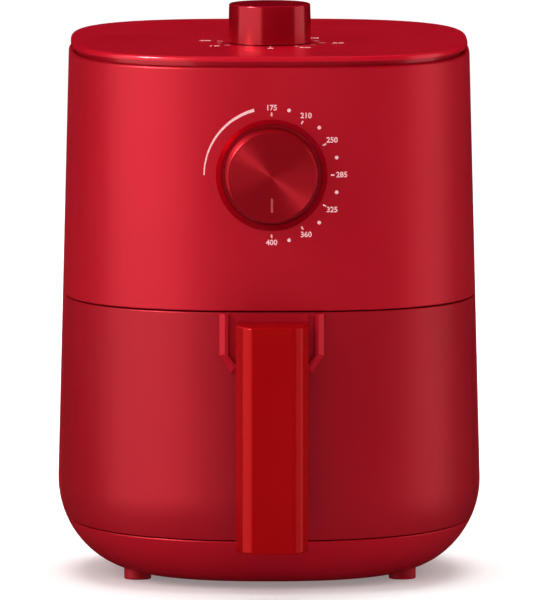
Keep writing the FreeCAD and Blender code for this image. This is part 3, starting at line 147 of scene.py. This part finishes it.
def moulded_plastic(name, colour, rough, grain_height, **values):
    """Injection-moulded plastic: fine spark-eroded grain, faint flow clouds and slight handling marks."""
    finish = Finish(name)
    clouds = finish.noise(9.0, 4.0)
    grain = finish.noise(2600.0, 2.0)
    smears = finish.noise(34.0, 5.0, 0.62, finish.stretched((1.0, 1.0, 0.35)))
    finish.colours(finish.sums(finish.spread(clouds, 0.0, 0.7), finish.spread(grain, 0.0, 0.3)),
                   [(0.0, shade(colour, 0.93)), (0.5, colour), (1.0, shade(colour, 1.07))])
    finish.roughness(finish.sums(finish.spread(smears, rough - 0.045, rough + 0.035),
                                 finish.spread(grain, -0.01, 0.02)))
    finish.bump(grain, grain_height)
    return finish.set(**values).material


RED = (0.45, 0.0008, 0.012)
# Painted shade: the drawer front is the shell's red made darker, for the shade that falls on it round the
# handle.
DRAWER_RED_PAINTED_SHADE = shade(RED, 0.8)
# Painted light: the lid is the shell's red made lighter, for the light that falls on its top.
LID_RED_PAINTED_LIGHT = shade(RED, 1.25)
FOOT_RED = shade(RED, 0.9)
HANDLE_RED = (0.36, 0.0006, 0.0016)
KNOB_RED = (0.4, 0.002, 0.012)
KNOB_FACE_RED = (0.5, 0.004, 0.014)
WARM_SHINE = (1.0, 0.7, 0.7, 1.0)        # tints the gloss of the metallic red towards the paint
RED_SHINE = (1.0, 0.35, 0.35, 1.0)


def red_shell(name="red_satin_plastic", colour=RED):
    return moulded_plastic(name, colour, 0.4, 9e-6, Metallic=0.35, Specular_IOR_Level=0.4,
                           Specular_Tint=WARM_SHINE)


def red_lid():
    """The lid is polished a little more than the walls, so that the knob mirrors in it. Its red is the
    shell's red made lighter: painted light, for the light that falls on its top.
    """
    return moulded_plastic("red_lid_plastic_painted_light", LID_RED_PAINTED_LIGHT, 0.34, 6e-6, Metallic=0.35, Specular_IOR_Level=0.4,
                           Specular_Tint=WARM_SHINE, Coat_Weight=0.3, Coat_Roughness=0.12)


def red_handle():
    return moulded_plastic("red_handle_plastic", HANDLE_RED, 0.3, 4e-6, Metallic=0.35,
                           Specular_IOR_Level=0.35, Specular_Tint=RED_SHINE)


def red_foot():
    """Feet moulded in the shell's red, duller and softer than the shell."""
    return moulded_plastic("red_foot_plastic", FOOT_RED, 0.55, 14e-6, Metallic=0.25,
                           Specular_IOR_Level=0.35, Specular_Tint=WARM_SHINE)


def black_plastic():
    return moulded_plastic("black_plastic", (0.012, 0.012, 0.013), 0.48, 16e-6)


def red_knob():
    """Red metallised plastic, polished, with faint clouds and fine dust."""
    finish = Finish("red_metallised_knob")
    dust = finish.noise(1500.0, 3.0)
    clouds = finish.noise(60.0, 4.0)
    finish.colours(finish.sums(finish.spread(dust, 0.0, 0.3), finish.spread(clouds, 0.0, 0.7)),
                   [(0.0, shade(KNOB_RED, 0.95)), (1.0, shade(KNOB_RED, 1.06))])
    finish.roughness(finish.sums(finish.spread(clouds, 0.15, 0.18), finish.spread(dust, 0.0, 0.02)))
    finish.bump(dust, 1e-6)
    return finish.set(Metallic=0.5, Specular_IOR_Level=0.5).material


def spun_red():
    """Red anodised face: fine turned rings that fan the light out round the middle."""
    finish = Finish("red_spun_face")
    clouds = finish.noise(90.0, 4.0)
    scratches = finish.noise(1900.0, 2.0)
    finish.colours(finish.sums(finish.spread(clouds, 0.0, 0.5), finish.spread(scratches, 0.0, 0.5)),
                   [(0.0, shade(KNOB_FACE_RED, 0.9)), (1.0, shade(KNOB_FACE_RED, 1.1))])
    finish.roughness(finish.spread(scratches, 0.3, 0.38))
    round_axis = finish.nodes.new("ShaderNodeTangent")
    round_axis.direction_type = "RADIAL"
    round_axis.axis = "Y"
    finish.links.new(round_axis.outputs["Tangent"], finish.shader.inputs["Tangent"])
    return finish.set(Metallic=0.7, Anisotropic=0.85, Anisotropic_Rotation=0.25,
                      Specular_IOR_Level=0.6).material


def rolled_steel(name, colour, rough, spots=0.25):
    """Rolled sheet or turned steel: drawn lines, faint stains and small bright nicks."""
    finish = Finish(name)
    lines = finish.noise(700.0, 3.0, 0.6, finish.stretched((1.0, 0.04, 1.0)))
    stains = finish.noise(22.0, 5.0, 0.65)
    finish.colours(finish.sums(finish.spread(lines, 0.0, 1.0 - spots), finish.spread(stains, 0.0, spots)),
                   [(0.0, shade(colour, 0.7)), (0.6, colour), (1.0, shade(colour, 1.2))])
    finish.roughness(finish.sums(finish.spread(stains, rough - 0.08, rough + 0.08),
                                 finish.spread(lines, -0.05, 0.05)))
    finish.bump(lines, 8e-6)
    return finish.set(Metallic=1.0).material


def heated_steel():
    """Element sheath: oxidised brown and blue-grey patches over steel."""
    finish = Finish("oxidised_element_steel")
    patches = finish.noise(45.0, 5.0, 0.6)
    grain = finish.noise(1500.0, 2.0)
    finish.colours(patches, [(0.3, (0.09, 0.075, 0.07)), (0.5, (0.2, 0.15, 0.12)),
                             (0.62, (0.14, 0.15, 0.18)), (0.8, (0.26, 0.22, 0.18))])
    finish.roughness(finish.spread(patches, 0.38, 0.58))
    finish.bump(grain, 10e-6)
    return finish.set(Metallic=0.85).material


def nonstick():
    """Dark nonstick coat with fine light flecks and orange-peel."""
    finish = Finish("nonstick_coating")
    flecks = finish.cells(900.0)
    peel = finish.noise(420.0, 3.0)
    finish.colours(flecks, [(0.0, (0.12, 0.12, 0.125)), (0.09, (0.05, 0.05, 0.052)),
                            (0.16, (0.022, 0.022, 0.024)), (1.0, (0.016, 0.016, 0.018))])
    finish.roughness(finish.spread(peel, 0.3, 0.46))
    finish.bump(peel, 14e-6)
    return finish.set(Coat_Weight=0.25, Coat_Roughness=0.2).material


def soft_rubber(name, colour, rough):
    """Moulded rubber: dusty bloom and a soft uneven surface."""
    finish = Finish(name)
    dust = finish.noise(160.0, 5.0, 0.7)
    grain = finish.noise(1800.0, 3.0)
    finish.colours(dust, [(0.35, colour), (0.75, shade(colour, 1.9))])
    finish.roughness(finish.spread(dust, rough - 0.06, rough + 0.1))
    finish.bump(grain, 20e-6)
    return finish.set(Specular_IOR_Level=0.35).material


def felt():
    """Pressed mineral-wool pad: matted fibres."""
    finish = Finish("insulation_felt")
    fibres = finish.noise(1100.0, 6.0, 0.7, finish.stretched((1.0, 0.25, 1.0)))
    finish.colours(fibres, [(0.3, (0.42, 0.38, 0.31)), (0.7, (0.72, 0.68, 0.6))])
    finish.roughness(finish.spread(fibres, 0.85, 1.0))
    finish.bump(fibres, 1.5e-4)
    return finish.set(Sheen_Weight=0.3).material


def print_ink():
    """Pad-printed pale ink, slightly uneven in cover."""
    finish = Finish("pale_print_ink")
    cover = finish.noise(1400.0, 4.0, 0.6)
    finish.colours(cover, [(0.3, (0.6, 0.27, 0.28)), (0.6, (0.84, 0.46, 0.47))])
    finish.roughness(finish.spread(cover, 0.5, 0.66))
    finish.bump(cover, 4e-6)
    return finish.material


def pointer_ink():
    finish = Finish("pointer_ink")
    cover = finish.noise(1400.0, 4.0, 0.6)
    finish.colours(cover, [(0.3, (0.28, 0.02, 0.03)), (0.6, (0.36, 0.035, 0.045))])
    finish.roughness(finish.spread(cover, 0.4, 0.55))
    return finish.material


SLOT_MATERIALS = {
    "red_shell": red_shell(),
    "red_gloss": red_handle(),
    "black_plastic": black_plastic(),
    "nonstick": nonstick(),
    "steel": rolled_steel("rolled_steel", (0.5, 0.5, 0.5), 0.34),
    "element_steel": heated_steel(),
    "aluminium": rolled_steel("pressed_aluminium", (0.72, 0.72, 0.74), 0.4),
    "brass": rolled_steel("brass", (0.7, 0.5, 0.2), 0.3),
    "rubber": soft_rubber("black_rubber", (0.014, 0.013, 0.013), 0.7),
    "silicone": soft_rubber("grey_silicone", (0.03, 0.03, 0.033), 0.55),
    "felt": felt(),
    "print": print_ink(),
}
FEET = ("foot_front_left", "foot_front_right", "foot_back_left", "foot_back_right")
OWN_MATERIALS = {
    "timer_knob": red_knob(),
    "temperature_pointer": pointer_ink(),
    # painted shade: the drawer front gets a darker copy of the shell's plastic
    "drawer_front": red_shell("red_drawer_plastic_painted_shade", DRAWER_RED_PAINTED_SHADE),
    "lid_cover": red_lid(),
    **dict.fromkeys(FEET, red_foot()),
}


def paint(piece, material):
    piece.data.materials.clear()
    piece.data.materials.append(material)


def paint_frame():
    for part in frame["record"]["subparts"]:
        node = part["node"]
        paint(NODES[node], OWN_MATERIALS.get(node) or SLOT_MATERIALS[part["material_slot"]])


# ---------------------------------------------------------------- temperature knob
GROOVE_PITCH = 0.5 * MM
GROOVE_DEPTH = 0.02 * MM
KNOB_RING = 1.1 * MM     # plain bright band at the edge of the face
KNOB_TAPER = 1.0 * MM    # how much smaller the face's radius is than the base's
KNOB_EDGE = 0.7 * MM     # radius that rounds the face into the side
KNOB_EDGE_STEPS = 5
KNOB_FOOT = 0.25 * MM    # chamfer round the base
KNOB_RIM = 2.2 * MM      # wall at the open back, then at the face, and the face's own thickness
KNOB_WALL = 2.4 * MM
KNOB_FACE = 2.6 * MM


def knob_profile(face_radius, base_radius, length):
    """(radius, height) points from the middle of the face round the edge to the open back."""
    points = [(0.0, length)]
    radius = GROOVE_PITCH
    low = True
    while radius < face_radius - KNOB_RING:
        points.append((radius, length - (GROOVE_DEPTH if low else 0.0)))
        radius += GROOVE_PITCH / 2
        low = not low
    points.append((face_radius - KNOB_RING, length))
    for i in range(KNOB_EDGE_STEPS + 1):
        turn = math.pi / 2 * i / KNOB_EDGE_STEPS
        points.append((face_radius - KNOB_EDGE + KNOB_EDGE * math.sin(turn),
                       length - KNOB_EDGE + KNOB_EDGE * math.cos(turn)))
    points += [(base_radius, KNOB_FOOT), (base_radius - KNOB_FOOT, 0.0), (base_radius - KNOB_RIM, 0.0),
               (face_radius - KNOB_WALL, length - KNOB_FACE), (0.0, length - KNOB_FACE)]
    return points


LATHE_STEPS = 144
SHARP_EDGE = math.radians(40)


def lathe(name, centre, profile, steps=LATHE_STEPS):
    """Turns a profile round the line through centre that runs forward, towards -Y."""
    work = bmesh.new()
    rings = []
    for radius, height in profile:
        if radius == 0.0:
            rings.append([work.verts.new(centre + Vector((0.0, -height, 0.0)))])
            continue
        turns = [2 * math.pi * i / steps for i in range(steps)]
        rings.append([work.verts.new(centre + Vector((radius * math.cos(t), -height, radius * math.sin(t))))
                      for t in turns])
    for first, second in zip(rings, rings[1:]):
        for i in range(steps):
            after = (i + 1) % steps
            corners = [first[i % len(first)], first[after % len(first)],
                       second[after % len(second)], second[i % len(second)]]
            work.faces.new(list(dict.fromkeys(corners)))
    bmesh.ops.recalc_face_normals(work, faces=work.faces)
    for face in work.faces:
        face.smooth = True
    mesh = bpy.data.meshes.new(name)
    work.to_mesh(mesh)
    work.free()
    mesh.set_sharp_from_angle(angle=SHARP_EDGE)
    piece = bpy.data.objects.new(name, mesh)
    bpy.context.scene.collection.objects.link(piece)
    return piece


def temperature_dial():
    """Knob with a finely turned face; it stands for the plain CAD knob."""
    low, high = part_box("temperature_knob")
    base_radius = (high.x - low.x) / 2
    knob = lathe("turned_dial", Vector((DIAL.x, high.y, DIAL.z)),
                 knob_profile(base_radius - KNOB_TAPER, base_radius, high.y - low.y))
    paint(knob, spun_red())
    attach(knob, "temperature_dial")
    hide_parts("temperature_knob")


# ---------------------------------------------------------------- printed scales
INK = 0.04 * MM          # thickness of the ink
INK_SINK = 0.02 * MM     # how far its back face lies inside the surface
DIGIT_SHARE = 0.72       # height of a digit of the built-in font, as a share of its size
DIGIT_WEIGHT = 0.03      # how much a digit's strokes are thickened, as a share of its height
DOT_STEPS = 20
SWEEP_STEPS = 48

DIAL_VALUES = (175, 210, 250, 285, 325, 360, 400)
DIAL_STEP = 30.0         # degrees from one value to the next
DIAL_TICK = (29.2 * MM, 30.9 * MM)       # inner and outer end
DIAL_TICK_WIDTH = 0.75 * MM
DIAL_NUMBERS = 33.2 * MM
DIAL_NUMBERS_ASIDE = 1.3 * MM            # how much further out the numbers at the side stand
DIAL_DIGIT = 2.7 * MM
DIAL_DOTS = 33.1 * MM
DIAL_DOT = 0.9 * MM
DIAL_SWEEP = (270.0, 345.0)              # degrees where the curved stroke starts and ends
DIAL_SWEEP_WIDTH = (0.5 * MM, 1.5 * MM)

TIMER_MARKS = 7
TIMER_STEP = 55.0        # degrees from one number to the next
TIMER_MINUTES = 10
TIMER_TICK = (24.2 * MM, 27.6 * MM)
TIMER_TICK_WIDTH = 0.7 * MM
TIMER_HALF_TICK = (24.2 * MM, 26.4 * MM)
TIMER_HALF_WIDTH = 0.5 * MM
TIMER_NUMBERS = 34.0 * MM
TIMER_DIGIT = 4.2 * MM


def clock(radius, degrees):
    """A point at a clock angle, 0 at the top and turning clockwise."""
    turn = math.radians(degrees)
    return (radius * math.sin(turn), radius * math.cos(turn))


def surface_of(node):
    mesh = NODES[node].data
    return BVHTree.FromPolygons([v.co for v in mesh.vertices], [p.vertices for p in mesh.polygons])


class Scale:
    """A flat drawing laid onto a surface: across and up run in the surface, out leaves it."""

    def __init__(self, name, node, centre, across, up, out):
        self.name = name
        self.node = node
        self.centre = centre
        self.across, self.up, self.out = across, up, out
        self.work = bmesh.new()

    def plate(self, points, faces=None):
        """Adds a thin closed plate with the given outline."""
        front = [self.work.verts.new((x, y, INK)) for x, y in points]
        back = [self.work.verts.new((x, y, -INK_SINK)) for x, y in points]
        count = len(points)
        for face in faces or [range(count)]:
            self.work.faces.new([front[i] for i in face])
            self.work.faces.new([back[i] for i in reversed(face)])
        for i in range(count):
            after = (i + 1) % count
            self.work.faces.new([back[i], back[after], front[after], front[i]])

    def dot(self, radius, degrees, size):
        x, y = clock(radius, degrees)
        turns = [2 * math.pi * i / DOT_STEPS for i in range(DOT_STEPS)]
        self.plate([(x + size * math.cos(t), y + size * math.sin(t)) for t in turns])

    def tick(self, inner, outer, degrees, width):
        side = Vector(clock(1.0, degrees + 90)) * width / 2
        ends = [Vector(clock(inner, degrees)), Vector(clock(outer, degrees))]
        self.plate([ends[0] + side, ends[0] - side, ends[1] - side, ends[1] + side])

    def sweep(self, radius, start, stop, thin, thick):
        """A curved stroke that grows from thin to thick."""
        inner, outer = [], []
        for i in range(SWEEP_STEPS + 1):
            share = i / SWEEP_STEPS
            turn = start + (stop - start) * share
            half = (thin + (thick - thin) * share) / 2
            inner.append(clock(radius - half, turn))
            outer.append(clock(radius + half, turn))
        last = 2 * SWEEP_STEPS + 1
        quads = [(i, i + 1, last - i - 1, last - i) for i in range(SWEEP_STEPS)]
        self.plate(inner + outer[::-1], quads)

    def number(self, text, radius, degrees, height):
        curve = bpy.data.curves.new("digits", "FONT")
        curve.body = text
        curve.size = height / DIGIT_SHARE
        curve.align_x = "CENTER"
        curve.align_y = "CENTER"
        curve.offset = height * DIGIT_WEIGHT
        curve.extrude = (INK + INK_SINK) / 2
        curve.resolution_u = 3
        holder = bpy.data.objects.new("digits", curve)
        glyphs = bpy.data.meshes.new_from_object(holder)
        x, y = clock(radius, degrees)
        for vertex in glyphs.vertices:
            vertex.co += Vector((x, y, (INK - INK_SINK) / 2))
        self.work.from_mesh(glyphs)
        bpy.data.meshes.remove(glyphs)
        bpy.data.objects.remove(holder)
        bpy.data.curves.remove(curve)

    def lay(self, body, reach=30 * MM):
        """Drops the drawing onto the surface from reach above it, as a piece on the body."""
        bmesh.ops.remove_doubles(self.work, verts=self.work.verts, dist=1e-7)
        surface = surface_of(self.node)
        for vertex in self.work.verts:
            x, y, height = vertex.co
            start = self.centre + self.across * x + self.up * y + self.out * reach
            hit = surface.ray_cast(start, -self.out)[0]
            vertex.co = hit + self.out * height
        bmesh.ops.recalc_face_normals(self.work, faces=self.work.faces)
        mesh = bpy.data.meshes.new(self.name)
        self.work.to_mesh(mesh)
        self.work.free()
        piece = bpy.data.objects.new(self.name, mesh)
        bpy.context.scene.collection.objects.link(piece)
        paint(piece, SLOT_MATERIALS["print"])
        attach(piece, body)


def temperature_scale():
    """Values, ticks, dots between them and a curved stroke round the temperature dial."""
    scale = Scale("temperature_scale", "housing_shell", Vector((DIAL.x, FRONT_Y, DIAL.z)),
                  Vector((1, 0, 0)), Vector((0, 0, 1)), Vector((0, -1, 0)))
    for i, value in enumerate(DIAL_VALUES):
        degrees = DIAL_STEP * i
        aside = abs(math.sin(math.radians(degrees)))
        scale.tick(*DIAL_TICK, degrees, DIAL_TICK_WIDTH)
        scale.number(str(value), DIAL_NUMBERS + DIAL_NUMBERS_ASIDE * aside, degrees, DIAL_DIGIT)
        if i:
            scale.dot(DIAL_DOTS, degrees - DIAL_STEP / 2, DIAL_DOT)
    scale.sweep(DIAL_NUMBERS, *DIAL_SWEEP, *DIAL_SWEEP_WIDTH)
    scale.lay("housing")


def timer_scale():
    """Minutes and ticks round the timer knob, with 0 towards the front."""
    scale = Scale("timer_scale", "lid_cover", Vector((TIMER.x, TIMER.y, LID_TOP_Z)),
                  Vector((1, 0, 0)), Vector((0, 1, 0)), Vector((0, 0, 1)))
    for i in range(TIMER_MARKS):
        degrees = 180.0 + TIMER_STEP * i
        scale.tick(*TIMER_TICK, degrees, TIMER_TICK_WIDTH)
        scale.number(str(TIMER_MINUTES * i), TIMER_NUMBERS, degrees, TIMER_DIGIT)
        if i < TIMER_MARKS - 1:
            scale.tick(*TIMER_HALF_TICK, degrees + TIMER_STEP / 2, TIMER_HALF_WIDTH)
    scale.lay("housing")


# ---------------------------------------------------------------- studio
ROOM_LIGHT = 0.45
NEAR_GLOW = 0.22         # the floor's own glow by the fryer, where its shadow falls
FAR_GLOW = 0.66          # and far off, where it is a white backdrop
CAMERA_DISTANCE = 12.2
FIELD_HEIGHT = 0.2979    # metres seen from the top to the bottom of the picture at the object
SENSOR = 36.0            # millimetres
CAMERA_TURN = -0.65      # degrees round the object; below 0 is to its left
CAMERA_RISE = 5.4        # degrees above the horizon
CAMERA_TARGET = Vector((0.0005, 0.016, 0.13455))
CAMERA_REACH = 200.0     # metres
LIGHT_TARGET = Vector((0.0, 0.016, 0.14))
FLOOR_HALF = 30.0        # metres
FLOOR_CELLS = 40
GLOW_START = 0.2         # metres from the fryer where the glow starts to grow
GLOW_END = 1.3

# A softbox lights either surfaces or reflections, so that shade and gloss are set apart.
# Name, turn, rise, distance, width, height, watts, what it lights.
SOFTBOXES = (
    ("left_softbox", -60.0, 10.0, 1.3, 1.9, 1.5, 12.6, "reflections"),
    ("left_key", -62.0, 18.0, 1.3, 1.1, 1.3, 7.4, "surfaces"),
    ("right_softbox", 92.0, 8.0, 1.3, 0.9, 1.4, 4.0, "reflections"),
    ("right_key", 80.0, 14.0, 1.3, 0.7, 1.3, 3.0, "surfaces"),
    ("high_left_softbox", -58.0, 33.0, 1.5, 0.35, 0.35, 27.0, "reflections"),
    ("front_fill", 0.0, 30.0, 1.8, 1.6, 1.2, 10.5, "surfaces"),
    ("top_softbox", 180.0, 80.0, 1.5, 1.4, 1.2, 25.0, "surfaces"),
    ("rear_softbox", 170.0, 35.0, 2.0, 1.6, 0.9, 8.0, "surfaces"),
)


def around(turn, rise, distance, target):
    """A point at an angle round the target; turn 0 is in front of the object and 90 to its right."""
    t, r = math.radians(turn), math.radians(rise)
    return target + distance * Vector((math.sin(t) * math.cos(r), -math.cos(t) * math.cos(r), math.sin(r)))


def aim(thing, target):
    thing.rotation_euler = (target - thing.location).to_track_quat("-Z", "Y").to_euler()


def add_camera():
    data = bpy.data.cameras.new("camera")
    data.sensor_width = SENSOR
    data.lens = SENSOR * CAMERA_DISTANCE / FIELD_HEIGHT
    data.clip_end = CAMERA_REACH
    camera = bpy.data.objects.new("camera", data)
    camera.location = around(CAMERA_TURN, CAMERA_RISE, CAMERA_DISTANCE, CAMERA_TARGET)
    aim(camera, CAMERA_TARGET)
    bpy.context.scene.collection.objects.link(camera)
    bpy.context.scene.camera = camera


def softbox(name, turn, rise, distance, width, height, power, lights):
    data = bpy.data.lights.new(name, "AREA")
    data.shape = "RECTANGLE"
    data.size = width
    data.size_y = height
    data.energy = power
    light = bpy.data.objects.new(name, data)
    light.location = around(turn, rise, distance, LIGHT_TARGET)
    aim(light, LIGHT_TARGET)
    light.visible_diffuse = lights == "surfaces"
    light.visible_glossy = lights == "reflections"
    light.visible_camera = False
    bpy.context.scene.collection.objects.link(light)


def add_lights():
    for row in SOFTBOXES:
        softbox(*row)


def add_world():
    """Even white light from a room that shows white to the camera and stays dark in reflections."""
    world = bpy.data.worlds.new("studio")
    world.use_nodes = True
    bpy.context.scene.world = world
    nodes, links = world.node_tree.nodes, world.node_tree.links
    room = nodes["Background"]
    room.inputs["Color"].default_value = (1.0, 1.0, 1.0, 1.0)
    seen = nodes.new("ShaderNodeMapRange")
    seen.inputs["To Min"].default_value = ROOM_LIGHT
    seen.inputs["To Max"].default_value = 1.0
    path = nodes.new("ShaderNodeLightPath")
    links.new(path.outputs["Is Camera Ray"], seen.inputs["Value"])
    links.new(seen.outputs["Result"], room.inputs["Strength"])
    world.cycles_visibility.glossy = False


def add_floor():
    """A pale floor that glows more and more away from the fryer, until it is a white backdrop."""
    work = bmesh.new()
    bmesh.ops.create_grid(work, x_segments=FLOOR_CELLS, y_segments=FLOOR_CELLS, size=FLOOR_HALF)
    mesh = bpy.data.meshes.new("floor")
    work.to_mesh(mesh)
    work.free()
    floor = bpy.data.objects.new("floor", mesh)
    bpy.context.scene.collection.objects.link(floor)
    finish = Finish("pale_floor")
    cover = finish.noise(3.0, 3.0)
    finish.colours(cover, [(0.3, (0.8, 0.8, 0.8)), (0.7, (0.82, 0.82, 0.82))])
    finish.roughness(finish.spread(cover, 0.75, 0.85))
    distance = finish.nodes.new("ShaderNodeVectorMath")
    distance.operation = "LENGTH"
    finish.links.new(finish.place, distance.inputs[0])
    glow = finish.spread(distance.outputs["Value"], NEAR_GLOW, FAR_GLOW, GLOW_START, GLOW_END)
    finish.links.new(glow, finish.shader.inputs["Emission Strength"])
    finish.set(Specular_IOR_Level=0.1, Emission_Color=(1.0, 1.0, 1.0, 1.0))
    paint(floor, finish.material)
    floor.visible_glossy = False


paint_frame()
temperature_dial()
temperature_scale()
timer_scale()
add_camera()
add_lights()
add_world()
add_floor()
bpy.context.scene.view_settings.view_transform = "Standard"
